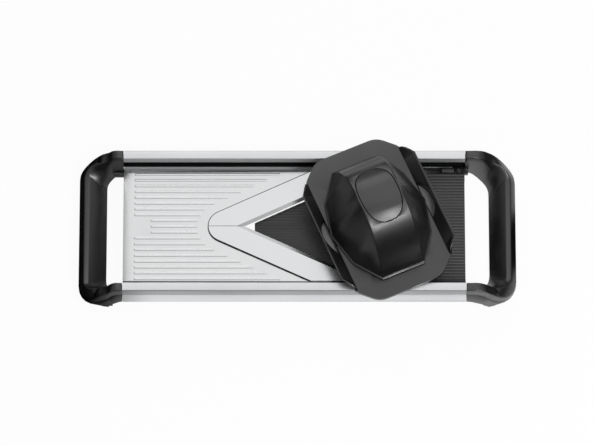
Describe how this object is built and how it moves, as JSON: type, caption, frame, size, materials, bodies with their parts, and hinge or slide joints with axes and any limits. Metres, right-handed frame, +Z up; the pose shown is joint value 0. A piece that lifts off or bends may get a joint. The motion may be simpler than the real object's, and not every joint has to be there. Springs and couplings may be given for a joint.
{
  "type": "adjustable v-blade slicer",
  "caption": "Flat slicer with aluminium rails, loop handles, ribbed steel plate, V-shaped blade, height-adjustable feed ramp and a sliding hand guard with a sprung plunger.",
  "frame": {"origin": "centre of the bounding box on the table, below the middle of the rails", "axes": "+X along the rails towards the feed ramp's handle, +Y across to the rear rail, +Z up"},
  "size_m": [0.38, 0.15, 0.0982],
  "materials": {
    "aluminium": "brushed, clear anodised",
    "steel": "polished",
    "black_plastic": "satin",
    "ramp_plastic": "satin, finely ribbed",
    "grey_plastic": "satin",
    "rubber": "matt"
  },
  "bodies": {
    "frame": {"rear_rail": "aluminium", "front_rail": "aluminium", "right_handle": "black_plastic", "left_handle": "black_plastic", "handle_screw_1": "steel", "handle_screw_2": "steel", "handle_screw_3": "steel", "handle_screw_4": "steel", "rubber_foot_1": "rubber", "rubber_foot_2": "rubber", "rubber_foot_3": "rubber", "rubber_foot_4": "rubber", "outfeed_plate": "steel", "rear_blade": "steel", "front_blade": "steel", "blade_carrier": "black_plastic", "carrier_screw_1": "steel", "carrier_screw_2": "steel", "carrier_screw_3": "steel", "carrier_screw_4": "steel", "cross_brace": "black_plastic", "brace_screw_1": "steel", "brace_screw_2": "steel"},
    "ramp": {"feed_ramp": "ramp_plastic"},
    "slider": {"rear_wedge_bar": "grey_plastic", "front_wedge_bar": "grey_plastic", "slider_grip": "black_plastic", "slider_screw_1": "steel", "slider_screw_2": "steel"},
    "guard": {"guard_flange": "black_plastic", "guard_dome": "black_plastic", "guard_screw_1": "steel", "guard_screw_2": "steel", "guard_screw_3": "steel", "guard_screw_4": "steel", "return_spring": "steel"},
    "plunger": {"guard_button": "black_plastic", "plunger_stem": "grey_plastic", "retaining_clip": "steel", "spike_plate": "grey_plastic"}
  },
  "joints": [
    {"name": "ramp_lift", "type": "slide", "parent": "frame", "child": "ramp", "axis": [0, 0, 1], "range_m": [-0.003, 0.0017]},
    {"name": "thickness_slide", "type": "slide", "parent": "frame", "child": "slider", "axis": [1, 0, 0], "range_m": [-0.012, 0.0068]},
    {"name": "guard_slide", "type": "slide", "parent": "frame", "child": "guard", "axis": [1, 0, 0], "range_m": [-0.14, 0.01]},
    {"name": "plunger", "type": "slide", "parent": "guard", "child": "plunger", "axis": [0, 0, 1], "range_m": [-0.01, 0], "stiffness_N_per_m": 150, "springref_m": 0.01, "deforming": ["return_spring"]}
  ],
  "couplings": [
    {"joint": "thickness_slide", "follows": "ramp_lift", "ratio": 4}
  ]
}
